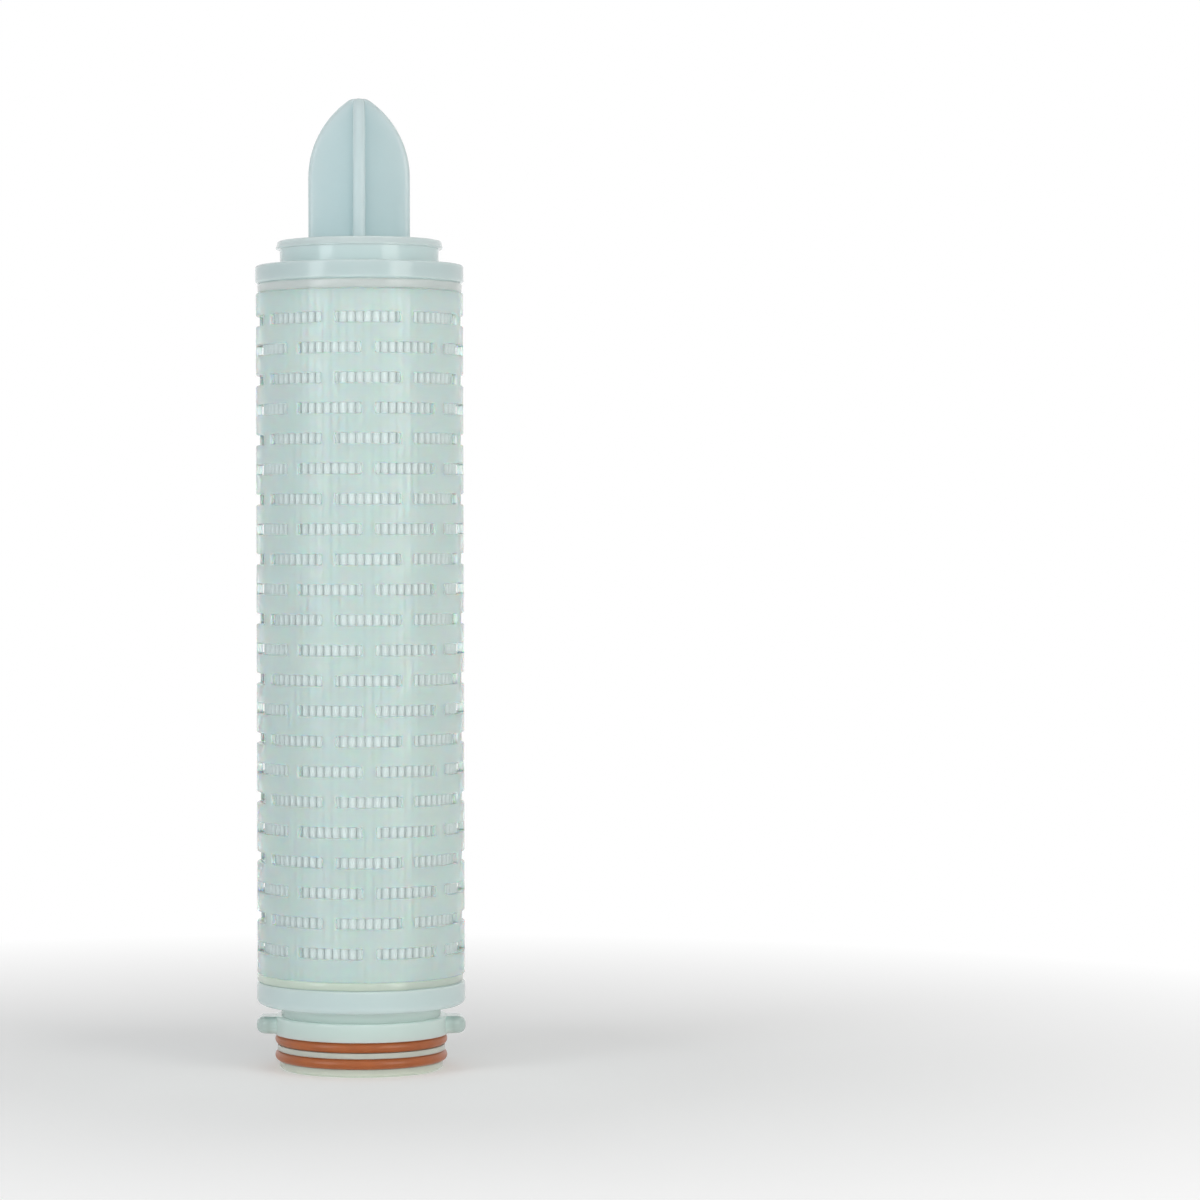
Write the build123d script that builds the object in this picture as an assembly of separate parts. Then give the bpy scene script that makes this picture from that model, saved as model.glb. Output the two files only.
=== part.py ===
from build123d import *
import os
from math import cos, radians, sin

# Driving sizes, in millimetres and degrees. The origin is the centre of the
# seal end's lower rim, and +Z runs up the cartridge's axis to the fin.

# Outer cage: a moulded tube with rows of slots, alternate rows staggered
cage_radius = 35.0
cage_wall = 2.0
cage_length = 229.0
cage_end_band = 7.0
slot_row_pitch = 10.0
slots_per_row = 8
slot_height = 3.4
slot_bar_angle = 8.0
first_bar_angle = 4.75

# Pleat pack: two support sheets with the filter medium between them
pleat_count = 72
support_thickness = 0.18
medium_thickness = 0.18
pleat_tip_width = 1.8
pleat_root_gap = 0.15
pleat_bend_angle = 45.0
pack_cage_gap = 0.7
pack_core_gap = 0.3

# Inner core: a windowed tube that carries the pack against the pressure
core_radius = 18.5
core_wall = 2.5
core_end_band = 8.0
windows_per_row = 4
window_height = 20.0
window_width = 14.0
window_row_pitch = 28.0

# End caps: each is melted onto one end of the cage, the pack and the core
cap_overhang = 0.15
cap_pack_gap = 0.3
lip_step = 1.1
lip_edge_chamfer = 0.5
bottom_cap_height = 7.7
bottom_lip_height = 2.7
bottom_floor_height = 4.0
bottom_corner_radius = 2.3
top_cap_height = 5.9
top_lip_height = 3.4
top_floor_height = 3.9
top_edge_radius = 0.8
plug_height = 4.0
plug_gap = 0.2
boss_radius = 26.8
boss_wall = 3.0
boss_height = 5.5

# Locating fin: two crossed plates with an ogive outline, on a base disc
disc_overhang = 0.95
disc_height = 2.7
disc_edge_radius = 0.6
disc_spigot_depth = 1.5
disc_spigot_gap = 0.15
weld_bead_radius = 0.45
fin_height = 48.2
fin_straight_height = 21.5
fin_width = 34.3
fin_tip_width = 5.2
fin_tip_radius = 3.0
fin_thickness = 4.2
fin_bevel = 1.4

# Seal end: a spigot with two ring grooves, a shoulder and two bayonet lugs
spigot_wall = 5.42
nose_step = 0.75
nose_height = 2.65
nose_chamfer = 0.8
land_height = 1.8
shoulder_overhang = 0.2
shoulder_height = 6.1
shoulder_edge_radius = 0.8
neck_step = 2.3
neck_height = 3.8
neck_flare_radius = 2.2
lug_width = 14.0
lug_height = 5.7
lug_corner_radius = 4.0
lug_edge_radius = 2.4

# Sealing rings: two alike, each free to turn in its groove
ring_section = 3.53
ring_outer_radius = 29.0
ring_proud = 0.75
ring_side_gap = 0.05
ring_seat_gap = 0.05

# Two edges are the same when they lie closer together than this
match_distance = 0.001

# Heights above the lower rim, stacked from the seal end to the fin
groove_height = ring_section + 2 * ring_side_gap
lower_groove_z = nose_height
land_z = lower_groove_z + groove_height
upper_groove_z = land_z + land_height
shoulder_z = upper_groove_z + groove_height
neck_z = shoulder_z + shoulder_height
bottom_cap_z = neck_z + neck_height
bottom_lip_z = bottom_cap_z + bottom_cap_height
cage_z = bottom_lip_z + bottom_lip_height
cage_top_z = cage_z + cage_length
top_cap_z = cage_top_z + top_lip_height
boss_z = top_cap_z + top_cap_height
disc_z = boss_z + boss_height
fin_z = disc_z + disc_height
fin_top_z = fin_z + fin_height
pack_z = bottom_cap_z + bottom_floor_height
pack_top_z = boss_z - top_floor_height

# Radii that follow from the fits between the pieces
cap_radius = cage_radius + cap_overhang
lip_radius = cage_radius - lip_step
channel_radius = core_radius - core_wall
pack_radius = cage_radius - cage_wall - pack_cage_gap
pack_inner_radius = core_radius + pack_core_gap
trough_radius = pack_radius + cap_pack_gap
plug_radius = channel_radius - plug_gap
boss_bore_radius = boss_radius - boss_wall
disc_radius = boss_radius + disc_overhang
ring_tube_radius = ring_section / 2
groove_radius = ring_outer_radius - ring_section - ring_seat_gap
land_radius = ring_outer_radius - ring_proud
nose_radius = land_radius - nose_step
shoulder_radius = ring_outer_radius + shoulder_overhang
neck_radius = shoulder_radius - neck_step
outlet_radius = groove_radius - spigot_wall


def turned(outline):
    """Solid of revolution about the axis, from a half section (radius, height)."""
    return revolve(Plane.XZ * make_face(outline), Axis.Z)


def rims(solid, radius, height):
    """Circular edges of a solid at one radius and one height."""
    circles = solid.edges().filter_by(GeomType.CIRCLE)
    level = circles.filter_by(lambda e: abs(e.arc_center.Z - height) < match_distance)
    return level.filter_by(lambda e: abs(e.radius - radius) < match_distance)


def row_heights(bottom_z, length, end_band, opening, pitch):
    """Middle heights of the rows of openings that fit on a tube, centred on it."""
    count = int((length - 2 * end_band - opening) / pitch) + 1
    middle_z = bottom_z + length / 2
    return [middle_z + (row - (count - 1) / 2) * pitch for row in range(count)]


# Outer cage
def slot_cutter(middle_angle, height):
    """Wedge with radial ends that opens one slot, centred on an angle and a height."""
    half = radians(180 / slots_per_row - slot_bar_angle / 2)
    reach = 2 * cage_radius
    wedge = Polygon(
        (0, 0),
        (reach * cos(half), -reach * sin(half)),
        (reach * cos(half), reach * sin(half)),
        align=None,
    )
    placed = Pos(0, 0, height - slot_height / 2) * Rot(0, 0, middle_angle) * wedge
    return extrude(placed, slot_height)


def outer_cage():
    """Slotted tube that guards the pleats. Alternate rows turn by half a slot."""
    tube = Circle(cage_radius) - Circle(cage_radius - cage_wall)
    cage = extrude(Pos(0, 0, cage_z) * tube, cage_length)
    slot_pitch = 360 / slots_per_row
    heights = row_heights(cage_z, cage_length, cage_end_band, slot_height, slot_row_pitch)
    cutters = []
    for row, height in enumerate(heights):
        stagger = (row % 2) * slot_pitch / 2
        for slot in range(slots_per_row):
            angle = first_bar_angle + stagger + (slot + 0.5) * slot_pitch - 90
            cutters.append(slot_cutter(angle, height))
    return cage - cutters


# Pleat pack
pack_thickness = 2 * support_thickness + medium_thickness
pleat_pitch = 360 / pleat_count


def pleat_loop(offset):
    """Closed outline of all the pleats, offset outwards from the pack's middle sheet."""
    tip_bend = (pleat_tip_width - pack_thickness) / 2
    root_width = 2 * pack_inner_radius * sin(radians(pleat_pitch / 2)) - pleat_root_gap
    root_bend = (root_width - pack_thickness) / 2
    tip_r = pack_radius - pleat_tip_width / 2
    root_r = pack_inner_radius + root_width / 2
    points = []
    for pleat in range(pleat_count):
        for bend, middle_r, sign, turn in (
            (tip_bend + offset, tip_r, 1, 0),
            (root_bend - offset, root_r, -1, pleat_pitch / 2),
        ):
            angle = radians(pleat * pleat_pitch - 90 + turn)
            out = Vector(cos(angle), sin(angle))
            side = Vector(-sin(angle), cos(angle))
            for corner in (-pleat_bend_angle, pleat_bend_angle):
                along = middle_r + sign * bend * cos(radians(corner))
                across = bend * sin(radians(corner))
                points.append(out * along + side * across)
    return Polyline(*points, close=True)


def pleated_sheet(inner_offset, outer_offset):
    """One sheet of the pack, from end cap to end cap, between two offset outlines."""
    section = make_face(pleat_loop(outer_offset)) - make_face(pleat_loop(inner_offset))
    return extrude(Pos(0, 0, pack_z) * section, pack_top_z - pack_z)


# Inner core
def inner_core():
    """Tube inside the pleats, with rows of windows that lead to the outlet."""
    tube = Circle(core_radius) - Circle(channel_radius)
    length = pack_top_z - pack_z
    core = extrude(Pos(0, 0, pack_z) * tube, length)
    window_pitch = 360 / windows_per_row
    heights = row_heights(pack_z, length, core_end_band, window_height, window_row_pitch)
    block = Pos(core_radius, 0, 0) * Box(core_radius, window_width, window_height)
    cutters = []
    for row, height in enumerate(heights):
        stagger = (row % 2) * window_pitch / 2
        for window in range(windows_per_row):
            turn = Rot(0, 0, stagger + window * window_pitch)
            cutters.append(Pos(0, 0, height) * turn * block)
    return core - cutters


# End caps
def bottom_end_cap():
    """Ring-shaped cap: a trough holds the core and pack, and the cage stands on its lip."""
    outline = Polyline(
        (channel_radius, bottom_cap_z),
        (cap_radius, bottom_cap_z),
        (cap_radius, bottom_lip_z),
        (lip_radius, bottom_lip_z),
        (lip_radius, cage_z),
        (trough_radius, cage_z),
        (trough_radius, pack_z),
        (channel_radius, pack_z),
        close=True,
    )
    cap = turned(outline)
    cap = fillet(rims(cap, cap_radius, bottom_cap_z), bottom_corner_radius)
    return chamfer(rims(cap, cap_radius, bottom_lip_z), lip_edge_chamfer)


def top_end_cap():
    """Closed cap with a trough, a plug in the core's bore and a hollow boss on top."""
    outline = Polyline(
        (0, boss_z),
        (boss_bore_radius, boss_z),
        (boss_bore_radius, disc_z),
        (boss_radius, disc_z),
        (boss_radius, boss_z),
        (cap_radius, boss_z),
        (cap_radius, top_cap_z),
        (lip_radius, top_cap_z),
        (lip_radius, cage_top_z),
        (trough_radius, cage_top_z),
        (trough_radius, pack_top_z),
        (plug_radius, pack_top_z),
        (plug_radius, pack_top_z - plug_height),
        (0, pack_top_z - plug_height),
        close=True,
    )
    cap = turned(outline)
    cap = fillet(rims(cap, cap_radius, boss_z), top_edge_radius)
    return chamfer(rims(cap, cap_radius, top_cap_z), lip_edge_chamfer)


# Locating fin
def fin_plate():
    """Flat plate on the axis with an ogive outline, bevelled all along its edge."""
    half = fin_width / 2
    corner = fin_tip_width / 2
    root_z = fin_z - disc_height / 2
    side_z = fin_z + fin_straight_height
    outline = [
        Polyline((-half, side_z), (-half, root_z), (half, root_z), (half, side_z)),
        TangentArc((half, side_z), (corner, fin_top_z), tangent=(0, 1)),
        Line((corner, fin_top_z), (-corner, fin_top_z)),
        TangentArc((-half, side_z), (-corner, fin_top_z), tangent=(0, 1)),
    ]
    face = make_face(outline)
    face = fillet(face.vertices().group_by(Axis.Y)[-1], fin_tip_radius)
    plate = extrude(Plane.XZ * face, fin_thickness / 2, both=True)
    edges = plate.faces().filter_by(Axis.Y).edges()
    return chamfer(edges.filter_by(lambda e: e.center().Z > fin_z), fin_bevel)


def locating_fin():
    """Crossed plates on a base disc, with the weld bead that joins it to the cap."""
    bead_top = (disc_radius, disc_z + 2 * weld_bead_radius)
    bead_side = (disc_radius + weld_bead_radius, disc_z + weld_bead_radius)
    spigot_radius = boss_bore_radius - disc_spigot_gap
    outline = [
        Polyline(
            (disc_radius, disc_z),
            (spigot_radius, disc_z),
            (spigot_radius, disc_z - disc_spigot_depth),
            (0, disc_z - disc_spigot_depth),
            (0, fin_z),
            (disc_radius, fin_z),
            bead_top,
        ),
        ThreePointArc(bead_top, bead_side, (disc_radius, disc_z)),
    ]
    disc = turned(outline)
    disc = fillet(rims(disc, disc_radius, fin_z), disc_edge_radius)
    plate = fin_plate()
    return disc + plate + Rot(0, 0, 90) * plate


# Seal end
def bayonet_adapter():
    """Spigot with two ring grooves, a shoulder with two lugs, and a flared neck."""
    outline = [
        Polyline(
            (neck_radius, bottom_cap_z - neck_flare_radius),
            (neck_radius, neck_z),
            (shoulder_radius, neck_z),
            (shoulder_radius, shoulder_z),
            (groove_radius, shoulder_z),
            (groove_radius, upper_groove_z),
            (land_radius, upper_groove_z),
            (land_radius, land_z),
            (groove_radius, land_z),
            (groove_radius, lower_groove_z),
            (nose_radius, lower_groove_z),
            (nose_radius, 0),
            (outlet_radius, 0),
            (outlet_radius, bottom_cap_z),
            (neck_radius + neck_flare_radius, bottom_cap_z),
        ),
        CenterArc(
            (neck_radius + neck_flare_radius, bottom_cap_z - neck_flare_radius),
            neck_flare_radius,
            90,
            90,
        ),
    ]
    body = turned(outline)
    body = chamfer(rims(body, nose_radius, 0), nose_chamfer)
    body = fillet(rims(body, shoulder_radius, neck_z), shoulder_edge_radius)
    plan = RectangleRounded(2 * cap_radius, lug_width, lug_corner_radius)
    lug_z = shoulder_z + (shoulder_height - lug_height) / 2
    lugs = extrude(Pos(0, 0, lug_z) * plan, lug_height)
    edges = lugs.edges().group_by(Axis.Z)
    lugs = fillet(edges[0] + edges[-1], lug_edge_radius)
    middle = Cylinder((outlet_radius + neck_radius) / 2, 2 * lug_height)
    return body + (lugs - Pos(0, 0, lug_z + lug_height / 2) * middle)


def sealing_ring(groove_z):
    """Round-section ring, centred in its groove."""
    height = groove_z + groove_height / 2
    return Pos(0, 0, height) * Torus(ring_outer_radius - ring_tube_radius, ring_tube_radius)


middle_sheet = medium_thickness / 2
outer_sheet = middle_sheet + support_thickness
parts = {
    "bayonet_adapter": bayonet_adapter(),
    "lower_o_ring": sealing_ring(lower_groove_z),
    "upper_o_ring": sealing_ring(upper_groove_z),
    "bottom_end_cap": bottom_end_cap(),
    "inner_core": inner_core(),
    "inner_support_sheet": pleated_sheet(-outer_sheet, -middle_sheet),
    "filter_medium": pleated_sheet(-middle_sheet, middle_sheet),
    "outer_support_sheet": pleated_sheet(middle_sheet, outer_sheet),
    "outer_cage": outer_cage(),
    "top_end_cap": top_end_cap(),
    "locating_fin": locating_fin(),
}

os.makedirs("parts", exist_ok=True)
for name, solid in parts.items():
    export_step(solid, f"parts/{name}.step")
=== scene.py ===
import bmesh
import bpy
from math import asin, atan2, cos, degrees, pi, radians, sin
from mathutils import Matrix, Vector


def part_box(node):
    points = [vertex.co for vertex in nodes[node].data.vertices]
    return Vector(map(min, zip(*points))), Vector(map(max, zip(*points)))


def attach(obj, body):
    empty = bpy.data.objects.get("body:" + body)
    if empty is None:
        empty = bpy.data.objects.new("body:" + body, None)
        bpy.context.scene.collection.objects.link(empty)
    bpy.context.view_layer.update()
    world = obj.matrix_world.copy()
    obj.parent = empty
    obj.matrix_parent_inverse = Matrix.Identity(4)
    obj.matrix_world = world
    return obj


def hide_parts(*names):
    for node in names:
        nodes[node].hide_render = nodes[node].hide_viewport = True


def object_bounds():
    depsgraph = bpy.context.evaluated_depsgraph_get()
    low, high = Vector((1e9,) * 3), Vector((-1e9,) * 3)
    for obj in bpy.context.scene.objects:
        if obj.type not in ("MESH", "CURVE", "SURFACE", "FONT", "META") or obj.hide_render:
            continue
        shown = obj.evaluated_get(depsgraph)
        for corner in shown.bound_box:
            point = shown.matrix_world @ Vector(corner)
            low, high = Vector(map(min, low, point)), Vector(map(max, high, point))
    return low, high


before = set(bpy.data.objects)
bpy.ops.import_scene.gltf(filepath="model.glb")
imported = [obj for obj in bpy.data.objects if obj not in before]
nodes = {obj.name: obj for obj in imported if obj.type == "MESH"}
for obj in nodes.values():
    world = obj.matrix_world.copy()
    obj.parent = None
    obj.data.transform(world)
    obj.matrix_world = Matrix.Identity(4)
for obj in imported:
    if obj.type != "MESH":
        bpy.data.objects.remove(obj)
cad_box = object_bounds()
bpy.context.scene.view_settings.view_transform = "Standard"


# Bayonet adapter
# The seal end that plugs into the housing: one injection moulding in polypropylene, with
# two ring grooves and two lugs. It is melted onto the underside of the bottom cap.
ADAPTER_COLOUR = (0.655, 0.77, 0.735)
ADAPTER_SHADE = (0.635, 0.755, 0.72)
NOSE_COLOUR = (0.655, 0.72, 0.62)
NOSE_TINT_HEIGHTS = (0.0085, 0.0115)
# Painted shade: the lugs get a darker copy of the adapter's colour for the shade on their sideways faces.
LUG_PAINTED_SHADE = (0.48, 0.58, 0.55)
LUG_SHADE_DISTANCES = (0.0285, 0.0310)


def effect_group(name, values, results):
    """An empty shader node group with named number inputs and number outputs."""
    group = bpy.data.node_groups.new(name, "ShaderNodeTree")
    for label, default in values.items():
        socket = group.interface.new_socket(label, in_out="INPUT", socket_type="NodeSocketFloat")
        socket.default_value = default
    for label in results:
        group.interface.new_socket(label, in_out="OUTPUT", socket_type="NodeSocketFloat")
    return group, group.nodes.new("NodeGroupInput"), group.nodes.new("NodeGroupOutput")


def moulded_skin():
    """Fine pitting of a moulded surface, and slow drifts in its tone."""
    values = {"Grain": 2500.0, "Drift": 60.0}
    group, given, result = effect_group("moulded_skin", values, ["Height", "Tone"])
    place = group.nodes.new("ShaderNodeTexCoord")
    for label, output, detail in (("Grain", "Height", 3.0), ("Drift", "Tone", 2.0)):
        noise = group.nodes.new("ShaderNodeTexNoise")
        noise.inputs["Detail"].default_value = detail
        group.links.new(place.outputs["Object"], noise.inputs["Vector"])
        group.links.new(given.outputs[label], noise.inputs["Scale"])
        group.links.new(noise.outputs["Fac"], result.inputs[output])
    return group


MOULDED_SKIN = moulded_skin()


class Finish:
    """A material under construction: its node tree, its shader and short ways to wire them."""

    def __init__(self, name, **constants):
        self.material = bpy.data.materials.new(name)
        self.material.use_nodes = True
        self.tree = self.material.node_tree
        self.shader = self.tree.nodes["Principled BSDF"]
        for label, value in constants.items():
            self.shader.inputs[label.replace("_", " ")].default_value = value

    def node(self, kind, **settings):
        """A new node with its inputs and its own settings."""
        made = self.tree.nodes.new(kind)
        for label, value in settings.items():
            if label in made.inputs:
                made.inputs[label].default_value = value
            else:
                setattr(made, label, value)
        return made

    def group(self, group, **values):
        """An effect placed in the material with its own values."""
        made = self.tree.nodes.new("ShaderNodeGroup")
        made.node_tree = group
        for label, value in values.items():
            made.inputs[label].default_value = value
        return made

    def link(self, source, target):
        """Wires an output to an input."""
        self.tree.links.new(source, target)

    def blend(self, factor, low, high):
        """Colour that runs from low to high with a factor."""
        mix = self.tree.nodes.new("ShaderNodeMix")
        mix.data_type = "RGBA"
        self.link(factor, mix.inputs["Factor"])
        for socket, colour in ((mix.inputs["A"], low), (mix.inputs["B"], high)):
            if isinstance(colour, tuple):
                socket.default_value = (*colour, 1)
            else:
                self.link(colour, socket)
        return mix.outputs["Result"]

    def spread(self, value, low, high, out_low=0.0, out_high=1.0):
        """A value mapped from one range onto another."""
        span = self.tree.nodes.new("ShaderNodeMapRange")
        ends = {"From Min": low, "From Max": high, "To Min": out_low, "To Max": out_high}
        for label, number in ends.items():
            span.inputs[label].default_value = number
        self.link(value, span.inputs["Value"])
        return span.outputs["Result"]

    def paint(self, colour):
        """Gives the shader its colour."""
        self.link(colour, self.shader.inputs["Base Color"])

    def bump(self, height, strength, distance=0.0001):
        """Fine relief of the surface."""
        bump = self.node("ShaderNodeBump", Strength=strength, Distance=distance)
        self.link(height, bump.inputs["Height"])
        self.link(bump.outputs["Normal"], self.shader.inputs["Normal"])

    def let_light_through(self, share, shader=None):
        """Lamps shine on through a thin wall: for their rays alone it is partly clear."""
        rays = self.node("ShaderNodeLightPath")
        part = self.spread(rays.outputs["Is Shadow Ray"], 0.0, 1.0, 0.0, share)
        clear = self.node("ShaderNodeBsdfTransparent")
        mix = self.node("ShaderNodeMixShader")
        self.link(part, mix.inputs["Fac"])
        self.link(shader or self.shader.outputs["BSDF"], mix.inputs[1])
        self.link(clear.outputs["BSDF"], mix.inputs[2])
        self.link(mix.outputs["Shader"], self.tree.nodes["Material Output"].inputs["Surface"])

    def put_on(self, piece):
        """Makes this the piece's only material."""
        piece.data.materials.clear()
        piece.data.materials.append(self.material)


def moulded_finish(name, shade, colour, depth, clearness):
    """Milky moulded plastic: light enters it, its tone drifts and its skin is finely pitted."""
    finish = Finish(name, Subsurface_Weight=0.9, Subsurface_Scale=depth, Specular_IOR_Level=0.45)
    finish.shader.inputs["Subsurface Radius"].default_value = (1.0, 1.0, 1.0)
    skin = finish.group(MOULDED_SKIN, Grain=2500.0, Drift=35.0)
    tone = finish.spread(skin.outputs["Tone"], 0.2, 0.8)
    finish.paint(finish.blend(tone, shade, colour))
    gloss = finish.spread(skin.outputs["Tone"], 0.2, 0.8, 0.10, 0.14)
    finish.link(gloss, finish.shader.inputs["Roughness"])
    finish.bump(skin.outputs["Height"], 0.15)
    finish.let_light_through(clearness)
    return finish


def along_axis(finish, axis, low, high):
    """0 to 1 between two distances from the origin along one axis, on both of its sides."""
    place = finish.node("ShaderNodeTexCoord")
    split = finish.node("ShaderNodeSeparateXYZ")
    finish.link(place.outputs["Object"], split.inputs[0])
    size = finish.node("ShaderNodeMath", operation="ABSOLUTE")
    finish.link(split.outputs[axis], size.inputs[0])
    return finish.spread(size.outputs[0], low, high)


def tint_part(finish, axis, distances, colour, beyond=True):
    """Another colour beyond two distances along one axis, or else short of them."""
    pair = [finish.shader.inputs["Base Color"].links[0].from_socket, colour]
    if not beyond:
        pair.reverse()
    finish.paint(finish.blend(along_axis(finish, axis, *distances), *pair))


adapter_finish = moulded_finish("adapter_skin", ADAPTER_SHADE, ADAPTER_COLOUR, depth=0.004, clearness=0.8)
tint_part(adapter_finish, "Z", NOSE_TINT_HEIGHTS, NOSE_COLOUR, beyond=False)
# Painted shade: beyond these distances across, the lugs turn darker for the shade on their sides.
tint_part(adapter_finish, "X", LUG_SHADE_DISTANCES, LUG_PAINTED_SHADE)
adapter_finish.put_on(nodes["bayonet_adapter"])


# Sealing rings
# Two round-section rings of brown silicone, stretched into the adapter's grooves.
# They seal the cartridge in its seat and are the only soft pieces at this end.
RING_COLOUR = (0.44, 0.117, 0.025)
RING_SHADE = (0.37, 0.094, 0.019)

ring_finish = Finish("ring_silicone", Roughness=0.33, Subsurface_Weight=0.15, Subsurface_Scale=0.0008)
ring_skin = ring_finish.group(MOULDED_SKIN, Grain=5000.0, Drift=160.0)
ring_tone = ring_finish.spread(ring_skin.outputs["Tone"], 0.3, 0.7)
ring_finish.paint(ring_finish.blend(ring_tone, RING_SHADE, RING_COLOUR))
ring_finish.bump(ring_skin.outputs["Height"], 0.2)
for name in ("lower_o_ring", "upper_o_ring"):
    ring_finish.put_on(nodes[name])


# Bottom end cap
# A ring-shaped polypropylene moulding. Its trough was melted round the pack and core,
# and its lip was melted onto the cage's lower end.
CAP_COLOUR = (0.62, 0.735, 0.73)
CAP_SHADE = (0.605, 0.72, 0.72)

cap_finish = moulded_finish("cap_skin", CAP_SHADE, CAP_COLOUR, depth=0.004, clearness=0.85)
cap_finish.put_on(nodes["bottom_end_cap"])


# Inner core
# The windowed tube that carries the pleats against the pressure. It only shows up the
# open outlet, so it keeps its solid and gets the natural plastic's finish.
CORE_COLOUR = (0.70, 0.80, 0.76)
CORE_SHADE = (0.66, 0.76, 0.72)

core_finish = moulded_finish("core_skin", CORE_SHADE, CORE_COLOUR, depth=0.002, clearness=0.5)
core_finish.put_on(nodes["inner_core"])


# Pleat pack
# A filter membrane between two soft spunbonded sheets, folded together into 72 pleats.
# The outer sheet is remade with round folds, whose tips swell until they almost touch,
# and with the slight waviness that pleating leaves.
SUPPORT_COLOUR = (0.95, 0.98, 0.98)
SUPPORT_SHADE = (0.90, 0.94, 0.94)
MEMBRANE_COLOUR = (0.93, 0.96, 0.96)
MEMBRANE_SHADE = (0.88, 0.92, 0.915)
PLEAT_COUNT = 72
SHEET_THICKNESS = 0.00018
TIP_RADIUS = 0.0323
TIP_HALF_WIDTH = 0.00055
SWELL_RADIUS = 0.0313
SWELL_HALF_WIDTH = 0.00133
SWELL_ROUNDING = 0.0003
NECK_RADIUS = 0.0292
NECK_HALF_WIDTH = 0.00080
ROOT_RADIUS = 0.01925
ROOT_HALF_WIDTH = 0.00029
PACK_LEVELS = 30
WAVE_LENGTH = 0.012
WAVE_DEPTH = 0.00012
SAME_PLACE = 1e-6
MERGE_DISTANCE = 0.00002
pack_low, pack_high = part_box("outer_support_sheet")


def drawn_line(name, points):
    """A new line drawn vertex by vertex through points, left open in edit mode."""
    bpy.ops.object.select_all(action="DESELECT")
    bpy.ops.mesh.primitive_plane_add(size=0.001, location=points[0])
    line = bpy.context.object
    line.name = name
    bpy.ops.object.transform_apply(location=True, rotation=True, scale=True)
    bpy.ops.object.mode_set(mode="EDIT")
    bpy.ops.mesh.select_mode(type="VERT")
    bpy.ops.mesh.select_all(action="SELECT")
    bpy.ops.mesh.merge(type="CENTER")
    for start, end in zip(points, points[1:]):
        step = tuple(b - a for a, b in zip(start, end))
        bpy.ops.mesh.extrude_vertices_move(TRANSFORM_OT_translate={"value": step})
    return line


def pick(piece, kind, test):
    """Selects the vertices, edges or faces whose middle passes a test."""
    bpy.ops.mesh.select_mode(type=kind)
    bpy.ops.mesh.select_all(action="DESELECT")
    mesh = bmesh.from_edit_mesh(piece.data)
    parts = {"VERT": mesh.verts, "EDGE": mesh.edges, "FACE": mesh.faces}[kind]
    for part in parts:
        corners = [part] if kind == "VERT" else part.verts
        middle = sum((corner.co for corner in corners), Vector()) / len(corners)
        if test(middle):
            part.select_set(True)
    bmesh.update_edit_mesh(piece.data)


def close_seams():
    """Joins the points that lie together and turns all faces outwards."""
    bpy.ops.mesh.select_all(action="SELECT")
    bpy.ops.mesh.remove_doubles(threshold=MERGE_DISTANCE)
    bpy.ops.mesh.normals_make_consistent(inside=False)


def turn_line(steps):
    """Spins the open line round the axis into a closed skin."""
    bpy.ops.mesh.select_all(action="SELECT")
    bpy.ops.mesh.spin(steps=steps, angle=2 * pi, center=(0, 0, 0), axis=(0, 0, 1))
    close_seams()


def select_only(piece):
    """Makes a piece the only selected and the active object."""
    bpy.ops.object.select_all(action="DESELECT")
    bpy.context.view_layer.objects.active = piece
    piece.select_set(True)


def add_modifier(piece, kind, **settings):
    """A modifier with its settings, applied at once."""
    select_only(piece)
    modifier = piece.modifiers.new(kind.lower(), kind)
    for label, value in settings.items():
        setattr(modifier, label, value)
    bpy.ops.object.modifier_apply(modifier=modifier.name)


def pleated_web():
    """One pleat drawn as a strip, repeated round the axis and given its thickness."""
    turn = radians(180 / PLEAT_COUNT)
    root = (ROOT_RADIUS * cos(turn), ROOT_RADIUS * sin(turn))
    flank_root = (root[0] + ROOT_HALF_WIDTH * sin(turn), root[1] - ROOT_HALF_WIDTH * cos(turn))
    neck = (NECK_RADIUS, NECK_HALF_WIDTH)
    swell = (SWELL_RADIUS, SWELL_HALF_WIDTH)
    tip = (TIP_RADIUS, TIP_HALF_WIDTH)
    half = [root, flank_root, neck, swell, tip]
    corners = [(x, -y) for x, y in half] + half[::-1]
    web = drawn_line("outer_pleats", [(x, y, pack_low.z) for x, y in corners])
    bpy.ops.mesh.select_all(action="SELECT")
    rise = (pack_high.z - pack_low.z) / PACK_LEVELS
    for level in range(PACK_LEVELS):
        bpy.ops.mesh.extrude_region_move(TRANSFORM_OT_translate={"value": (0, 0, rise)})
    for corner, rounding in (
        (tip, TIP_HALF_WIDTH * 0.8),
        (swell, SWELL_ROUNDING),
        (flank_root, ROOT_HALF_WIDTH * 0.9),
    ):
        spot = Vector(corner)
        pick(web, "EDGE", lambda p: (Vector((p.x, abs(p.y))) - spot).length < SAME_PLACE)
        bpy.ops.mesh.bevel(offset=rounding, segments=2, affect="EDGES")
    bpy.ops.mesh.select_all(action="SELECT")
    bpy.ops.mesh.spin(steps=PLEAT_COUNT, dupli=True, angle=2 * pi, center=(0, 0, 0), axis=(0, 0, 1))
    close_seams()
    bpy.ops.object.mode_set(mode="OBJECT")
    waves = bpy.data.textures.new("web_waves", "CLOUDS")
    waves.noise_scale = WAVE_LENGTH
    add_modifier(web, "DISPLACE", texture=waves, strength=WAVE_DEPTH, mid_level=0.5)
    add_modifier(web, "SOLIDIFY", thickness=SHEET_THICKNESS, offset=0)
    bpy.ops.object.shade_smooth_by_angle(angle=radians(50))
    return web


pleats = pleated_web()
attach(pleats, "root")
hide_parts("outer_support_sheet")


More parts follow.
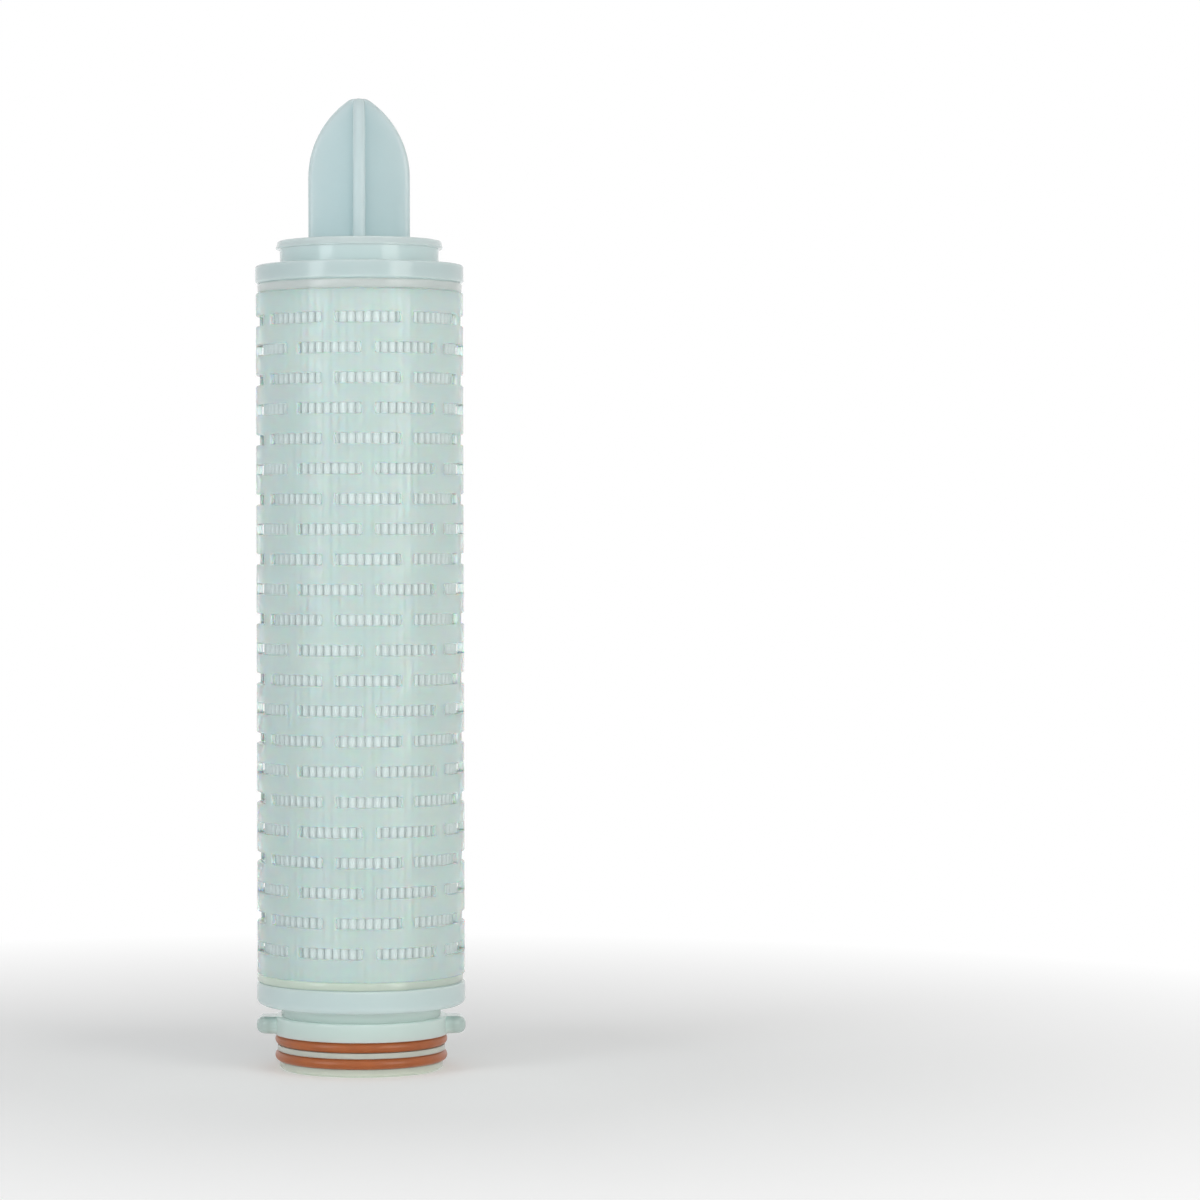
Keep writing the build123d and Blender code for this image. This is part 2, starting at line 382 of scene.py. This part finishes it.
def web_finish(name, shade, colour):
    """Soft white fibre web: matt, a little see-through, with fine crossed fibres."""
    finish = Finish(name, Roughness=0.85, Specular_IOR_Level=0.2)
    place = finish.node("ShaderNodeTexCoord")
    fibres = finish.node("ShaderNodeTexNoise", Scale=2200.0, Detail=4.0, Roughness=0.7)
    finish.link(place.outputs["Object"], fibres.inputs["Vector"])
    tint = finish.blend(fibres.outputs["Fac"], shade, colour)
    finish.paint(tint)
    finish.bump(fibres.outputs["Fac"], 0.5)
    through = finish.node("ShaderNodeBsdfTranslucent")
    finish.link(tint, through.inputs["Color"])
    mix = finish.node("ShaderNodeMixShader", Fac=0.65)
    finish.link(finish.shader.outputs["BSDF"], mix.inputs[1])
    finish.link(through.outputs["BSDF"], mix.inputs[2])
    finish.let_light_through(0.6, mix.outputs["Shader"])
    return finish


support_web = web_finish("support_web", SUPPORT_SHADE, SUPPORT_COLOUR)
support_web.put_on(pleats)
support_web.put_on(nodes["inner_support_sheet"])
membrane_web = web_finish("membrane_web", MEMBRANE_SHADE, MEMBRANE_COLOUR)
membrane_web.put_on(nodes["filter_medium"])


# Outer cage
# A slotted tube moulded in natural polypropylene, milky enough for the pleats to show
# through. Its slots are staggered from row to row and their edges are softly rounded.
CAGE_COLOUR = (0.73, 0.825, 0.805)
CAGE_SHADE = (0.70, 0.80, 0.785)
CAGE_WALL = 0.002
CAGE_EDGE_ROUNDING = 0.0005
SLOT_ROWS = 22
SLOT_PITCH = 0.010
SLOT_HEIGHT = 0.0034
SLOTS_PER_ROW = 8
BAR_ANGLE = 8.0
FIRST_BAR_ANGLE = 4.75
FACET_ANGLE = 3.7
cage_low, cage_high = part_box("outer_cage")
cage_radius = cage_high.x
cage_middle_z = (cage_low.z + cage_high.z) / 2
slot_turn = 360 / SLOTS_PER_ROW


def row_middle(row):
    """Height of the middle of one row of slots."""
    return cage_middle_z + (row - (SLOT_ROWS - 1) / 2) * SLOT_PITCH


def slot_edges():
    """Angles, from the front, at which a slot starts or ends in one eighth of a turn."""
    starts = (FIRST_BAR_ANGLE, FIRST_BAR_ANGLE + slot_turn / 2)
    return sorted(start + side * BAR_ANGLE / 2 for start in starts for side in (-1, 1))


def in_slot(p):
    """True where a point of the cage's wall lies in a slot."""
    row = round((p.z - cage_middle_z) / SLOT_PITCH + (SLOT_ROWS - 1) / 2)
    row = min(max(row, 0), SLOT_ROWS - 1)
    if abs(p.z - row_middle(row)) > SLOT_HEIGHT / 2:
        return False
    angle = degrees(atan2(p.x, -p.y)) - FIRST_BAR_ANGLE - (row % 2) * slot_turn / 2
    return BAR_ANGLE / 2 < angle % slot_turn < slot_turn - BAR_ANGLE / 2


def cage_shell():
    """The wall drawn as one upright line, spun round the axis and cut open at each slot."""
    levels = [cage_low.z]
    for row in range(SLOT_ROWS):
        levels += [row_middle(row) - SLOT_HEIGHT / 2, row_middle(row) + SLOT_HEIGHT / 2]
    levels.append(cage_high.z)
    edges = slot_edges()
    start_x = cage_radius * sin(radians(edges[0]))
    start_y = -cage_radius * cos(radians(edges[0]))
    shell = drawn_line("slotted_cage", [(start_x, start_y, z) for z in levels])
    bpy.ops.mesh.select_all(action="SELECT")
    widths = [b - a for a, b in zip(edges, edges[1:] + [edges[0] + slot_turn])]
    for width in widths * SLOTS_PER_ROW:
        steps = max(2, round(width / FACET_ANGLE))
        bpy.ops.mesh.spin(steps=steps, angle=-radians(width), center=(0, 0, 0), axis=(0, 0, 1))
    close_seams()
    pick(shell, "FACE", in_slot)
    bpy.ops.mesh.delete(type="FACE")
    bpy.ops.object.mode_set(mode="OBJECT")
    add_modifier(shell, "SOLIDIFY", thickness=CAGE_WALL, offset=-1)
    add_modifier(
        shell,
        "BEVEL",
        width=CAGE_EDGE_ROUNDING,
        segments=2,
        limit_method="ANGLE",
        angle_limit=radians(40),
    )
    bpy.ops.object.shade_smooth_by_angle(angle=radians(35))
    return shell


cage = cage_shell()
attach(cage, "root")
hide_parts("outer_cage")
cage_finish = Finish(
    "cage_milky",
    Roughness=0.12,
    Subsurface_Weight=0.8,
    Subsurface_Scale=0.003,
    Transmission_Weight=0.62,
    IOR=1.1,
    Coat_Weight=0.4,
    Coat_Roughness=0.25,
)
cage_skin = cage_finish.group(MOULDED_SKIN, Grain=1800.0, Drift=40.0)
cage_tone = cage_finish.spread(cage_skin.outputs["Tone"], 0.3, 0.7)
cage_finish.paint(cage_finish.blend(cage_tone, CAGE_SHADE, CAGE_COLOUR))
cage_finish.bump(cage_skin.outputs["Height"], 0.12)
cage_finish.let_light_through(0.87)
cage_finish.put_on(cage)


# Top end cap
# The closed cap, melted onto the cage's upper end, with the hollow boss that carries the
# fin. It is the same moulding compound as the bottom cap.
TOP_CAP_COLOUR = (0.57, 0.68, 0.68)
TOP_CAP_SHADE = (0.555, 0.665, 0.67)
# Painted light: the boss gets a lighter copy of the cap's colour, against the shade under the disc.
BOSS_PAINTED_LIGHT = (0.65, 0.77, 0.77)
BOSS_HEIGHT = 0.0055
boss_foot_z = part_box("top_end_cap")[1].z - BOSS_HEIGHT

top_cap_finish = moulded_finish("top_cap_skin", TOP_CAP_SHADE, TOP_CAP_COLOUR, depth=0.004, clearness=0.88)
# Painted light: above its foot the boss turns lighter, to cancel the shade that falls under the disc.
tint_part(top_cap_finish, "Z", (boss_foot_z + 0.0001, boss_foot_z + 0.0005), BOSS_PAINTED_LIGHT)
top_cap_finish.put_on(nodes["top_end_cap"])


# Melt beads
# Plastic squeezed out where each cap was melted onto the cage. It set as an uneven bead
# in the groove between them, yellower and clearer than the mouldings.
UPPER_MELT_COLOUR = (0.82, 0.95, 0.88)
UPPER_MELT_SHADE = (0.79, 0.92, 0.85)
LOWER_MELT_COLOUR = (0.67, 0.82, 0.66)
LOWER_MELT_SHADE = (0.62, 0.78, 0.60)
LIP_RADIUS = 0.0339
UPPER_GROOVE_HEIGHT = 0.0034
LOWER_GROOVE_HEIGHT = 0.0027
BEAD_OVERLAP = 0.0003
BEAD_CORNER = 0.0003
BEAD_STEPS = 120
LUMP_SIZE = 0.007


def melt_bead(name, bottom, top, radius, unevenness):
    """A bead's profile drawn beside the lip and spun round the axis, then made uneven."""
    inside = LIP_RADIUS - BEAD_OVERLAP
    rise = (top - bottom) / 5
    profile = [
        (inside, bottom),
        (radius - BEAD_CORNER, bottom + 0.2 * rise),
        (radius, bottom + rise),
        (radius, top - rise),
        (radius - BEAD_CORNER, top - 0.2 * rise),
        (inside, top),
        (inside, bottom),
    ]
    bead = drawn_line(name, [(0, -r, z) for r, z in profile])
    turn_line(BEAD_STEPS)
    bpy.ops.object.mode_set(mode="OBJECT")
    lumps = bpy.data.textures.new(name + "_lumps", "CLOUDS")
    lumps.noise_scale = LUMP_SIZE
    add_modifier(bead, "DISPLACE", texture=lumps, strength=unevenness, mid_level=0.8)
    bpy.ops.object.shade_smooth_by_angle(angle=radians(60))
    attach(bead, "root")
    return bead


def sink_in(bead, direction, depth):
    """Presses one side of a bead inwards, as where less plastic came out."""
    select_only(bead)
    bpy.ops.object.mode_set(mode="EDIT")
    beside = cos(radians(8))
    for turn in range(-45, 46, 15):
        angle = radians(direction + turn)
        aim = Vector((sin(angle), -cos(angle)))
        pick(bead, "VERT", lambda p: p.xy.length > LIP_RADIUS and p.xy.normalized().dot(aim) > beside)
        move = -depth * cos(radians(turn)) * aim
        bpy.ops.transform.translate(value=(move.x, move.y, 0))
    bpy.ops.object.mode_set(mode="OBJECT")


upper_bead = melt_bead(
    "upper_melt_bead",
    bottom=cage_high.z - BEAD_OVERLAP,
    top=cage_high.z + UPPER_GROOVE_HEIGHT,
    radius=0.03455,
    unevenness=0.0005,
)
lower_bead = melt_bead(
    "lower_melt_bead",
    bottom=cage_low.z - LOWER_GROOVE_HEIGHT,
    top=cage_low.z + BEAD_OVERLAP,
    radius=0.03505,
    unevenness=0.0004,
)
sink_in(lower_bead, direction=78, depth=0.0006)
upper_melt = moulded_finish("upper_melt", UPPER_MELT_SHADE, UPPER_MELT_COLOUR, depth=0.006, clearness=0.9)
upper_melt.put_on(upper_bead)
lower_melt = moulded_finish("lower_melt", LOWER_MELT_SHADE, LOWER_MELT_COLOUR, depth=0.006, clearness=0.9)
lower_melt.put_on(lower_bead)


# Locating fin
# Two crossed plates on a disc, moulded in one piece and welded to the boss. It guides the
# cartridge into the housing's top plate.
FIN_COLOUR = (0.555, 0.675, 0.69)
FIN_SHADE = (0.535, 0.655, 0.675)
DISC_COLOUR = (0.60, 0.72, 0.72)
DISC_RADIUS = 0.02775
DISC_EDGE_ROUNDING = 0.0006
DISC_STEPS = 96
WELD_BEAD = 0.00045
SPIGOT_RADIUS = 0.02365
SPIGOT_DEPTH = 0.0015
PLATE_HEIGHT = 0.0482
PLATE_STRAIGHT = 0.0215
PLATE_WIDTH = 0.0343
PLATE_TIP_WIDTH = 0.0052
PLATE_TIP_ROUNDING = 0.0009
PLATE_THICKNESS = 0.0042
PLATE_EDGE_ROUNDING = 0.00185
PLATE_FOOT = 0.0001
PLATE_ARC_STEPS = 18
fin_low, fin_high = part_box("locating_fin")
disc_bottom = fin_low.z + SPIGOT_DEPTH
disc_top = fin_high.z - PLATE_HEIGHT


def fin_disc():
    """The base disc with its spigot and weld bead: half its section, spun round the axis."""
    section = [
        (0, fin_low.z),
        (SPIGOT_RADIUS, fin_low.z),
        (SPIGOT_RADIUS, disc_bottom),
        (DISC_RADIUS, disc_bottom),
    ]
    for turn in range(-60, 61, 30):
        out = WELD_BEAD * cos(radians(turn))
        up = WELD_BEAD * (1 + sin(radians(turn)))
        section.append((DISC_RADIUS + out, disc_bottom + up))
    for turn in range(0, 91, 30):
        inwards = DISC_EDGE_ROUNDING * (1 - cos(radians(turn)))
        down = DISC_EDGE_ROUNDING * (1 - sin(radians(turn)))
        section.append((DISC_RADIUS - inwards, disc_top - down))
    section.append((0, disc_top))
    disc = drawn_line("fin_disc", [(r, 0, z) for r, z in section])
    turn_line(DISC_STEPS)
    bpy.ops.object.mode_set(mode="OBJECT")
    return disc


def fin_plate():
    """One plate: its pointed outline filled, thickened and rounded along its edges."""
    half = PLATE_WIDTH / 2
    side_z = disc_top + PLATE_STRAIGHT
    rise = fin_high.z - side_z
    run = half - PLATE_TIP_WIDTH / 2
    sweep = (run * run + rise * rise) / (2 * run)
    arc = [asin(rise / sweep) * step / PLATE_ARC_STEPS for step in range(PLATE_ARC_STEPS + 1)]
    side = [(half - sweep * (1 - cos(angle)), side_z + sweep * sin(angle)) for angle in arc]
    foot_z = disc_bottom + PLATE_FOOT
    outline = [(half, foot_z), *side, *[(-x, z) for x, z in side[::-1]], (-half, foot_z)]
    plate = drawn_line("fin_plate", [(x, 0, z) for x, z in outline])
    bpy.ops.mesh.select_all(action="SELECT")
    bpy.ops.mesh.edge_face_add()
    pick(plate, "VERT", lambda p: p.z > fin_high.z - SAME_PLACE)
    bpy.ops.mesh.bevel(offset=PLATE_TIP_ROUNDING, segments=4, affect="VERTICES")
    bpy.ops.object.mode_set(mode="OBJECT")
    add_modifier(plate, "SOLIDIFY", thickness=PLATE_THICKNESS, offset=0)
    add_modifier(
        plate,
        "BEVEL",
        width=PLATE_EDGE_ROUNDING,
        segments=6,
        limit_method="ANGLE",
        angle_limit=radians(60),
    )
    return plate


def crossed_fin():
    """Disc and plates joined into one moulding."""
    fin = fin_disc()
    fin.name = "crossed_fin"
    for turn in (0, 90):
        plate = fin_plate()
        select_only(plate)
        plate.rotation_euler.z = radians(turn)
        bpy.ops.object.transform_apply(location=True, rotation=True, scale=True)
        add_modifier(fin, "BOOLEAN", object=plate, operation="UNION", solver="EXACT")
        bpy.data.objects.remove(plate)
    select_only(fin)
    bpy.ops.object.mode_set(mode="EDIT")
    close_seams()
    bpy.ops.object.mode_set(mode="OBJECT")
    bpy.ops.object.shade_smooth_by_angle(angle=radians(35))
    return fin


fin = crossed_fin()
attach(fin, "root")
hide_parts("locating_fin")
fin_finish = moulded_finish("fin_skin", FIN_SHADE, FIN_COLOUR, depth=0.010, clearness=0.93)
tint_part(fin_finish, "Z", (disc_top, disc_top + 0.001), DISC_COLOUR, beyond=False)
fin_finish.put_on(fin)


# Studio
# A pale floor keeps the shadow near the cartridge and fades to the white backdrop. Two
# tall soft lamps stand beside the camera, and wide ones fill in from the front, the back
# and above.
FLOOR_COLOUR = (0.85, 0.85, 0.85, 1)
FLOOR_FADE = (0.12, 0.45)
BACKDROP_LIGHT = 0.22


def seen_directly(tree):
    """1 for what shows to the eye, also in a reflection or through a clear piece, or else 0."""
    rays = tree.nodes.new("ShaderNodeLightPath")
    total = rays.outputs["Is Camera Ray"]
    for label in ("Is Glossy Ray", "Is Transmission Ray"):
        add = tree.nodes.new("ShaderNodeMath")
        add.operation = "MAXIMUM"
        tree.links.new(total, add.inputs[0])
        tree.links.new(rays.outputs[label], add.inputs[1])
        total = add.outputs[0]
    return total


def studio_floor():
    """A pale floor whose colour fades to the backdrop's white away from the object."""
    bpy.ops.object.select_all(action="DESELECT")
    bpy.ops.mesh.primitive_plane_add(size=6, location=(0, 0, -0.0001))
    floor = bpy.context.object
    floor.name = "studio_floor"
    finish = Finish("floor_white", Base_Color=FLOOR_COLOUR, Roughness=0.9, Specular_IOR_Level=0.0)
    place = finish.node("ShaderNodeTexCoord")
    away = finish.node("ShaderNodeVectorMath", operation="LENGTH")
    finish.link(place.outputs["Object"], away.inputs[0])
    share = finish.node("ShaderNodeMath", operation="MULTIPLY")
    finish.link(finish.spread(away.outputs["Value"], *FLOOR_FADE), share.inputs[0])
    finish.link(seen_directly(finish.tree), share.inputs[1])
    glow = finish.node("ShaderNodeEmission", Strength=0.2)
    lifted = finish.node("ShaderNodeAddShader")
    finish.link(finish.shader.outputs["BSDF"], lifted.inputs[0])
    finish.link(glow.outputs["Emission"], lifted.inputs[1])
    white = finish.node("ShaderNodeEmission")
    mix = finish.node("ShaderNodeMixShader")
    finish.link(share.outputs[0], mix.inputs["Fac"])
    finish.link(lifted.outputs["Shader"], mix.inputs[1])
    finish.link(white.outputs["Emission"], mix.inputs[2])
    finish.link(mix.outputs["Shader"], finish.tree.nodes["Material Output"].inputs["Surface"])
    finish.put_on(floor)


def studio_backdrop():
    """A world that looks white and lights the object at a plain level."""
    world = bpy.data.worlds.new("studio")
    bpy.context.scene.world = world
    world.use_nodes = True
    tree = world.node_tree
    back = tree.nodes["Background"]
    back.inputs["Color"].default_value = (1.0, 1.0, 1.0, 1)
    level = tree.nodes.new("ShaderNodeMapRange")
    level.inputs["To Min"].default_value = BACKDROP_LIGHT
    level.inputs["To Max"].default_value = 1.0
    tree.links.new(seen_directly(tree), level.inputs["Value"])
    tree.links.new(level.outputs["Result"], back.inputs["Strength"])


def soft_lamp(name, azimuth, elevation, distance, power, size, colour=(1.0, 1.0, 1.0)):
    """A soft lamp that faces the object's middle. Azimuth 0 is the camera's side."""
    target = (cad_box[0] + cad_box[1]) / 2
    turn, lift = radians(azimuth), radians(elevation)
    aim = Vector((sin(turn) * cos(lift), -cos(turn) * cos(lift), sin(lift)))
    data = bpy.data.lights.new(name, "AREA")
    data.shape = "RECTANGLE"
    data.size, data.size_y = size
    data.energy = power
    data.color = colour
    lamp = bpy.data.objects.new(name, data)
    bpy.context.scene.collection.objects.link(lamp)
    lamp.location = target + distance * aim
    lamp.rotation_euler = (-aim).to_track_quat("-Z", "Y").to_euler()
    return lamp


studio_floor()
studio_backdrop()
soft_lamp("lamp_left", -48, 0, 1.2, 5.8, (0.40, 1.4), (0.94, 0.98, 1.0))
soft_lamp("lamp_right", 45, 0, 1.2, 6.8, (0.52, 1.4), (1.0, 0.99, 0.95))
soft_lamp("lamp_top", 0, 80, 1.5, 5.0, (1.2, 1.2))
front_fill = soft_lamp("lamp_front", 0, 8, 1.5, 4.6, (1.0, 1.4))
back_fill = soft_lamp("lamp_back", 180, 20, 1.5, 4.0, (1.4, 1.4))
for fill in (front_fill, back_fill):
    fill.visible_glossy = False


# Camera
# Level with the cartridge's middle and as far off as the photograph was taken. The frame's
# shift puts the cartridge left of centre, and the top leans a fraction of a degree.
CAMERA_DISTANCE = 1.35
CAMERA_HEIGHT = 0.1812
CAMERA_ROLL = 0.15
camera_data = bpy.data.cameras.new("camera")
camera_data.sensor_width = 36
camera_data.lens = 120
camera_data.shift_x = 0.20
camera_data.shift_y = -0.0583
camera = bpy.data.objects.new("camera", camera_data)
bpy.context.scene.collection.objects.link(camera)
camera.location = (0, -CAMERA_DISTANCE, CAMERA_HEIGHT)
camera.rotation_euler = (radians(90), radians(CAMERA_ROLL), 0)
bpy.context.scene.camera = camera
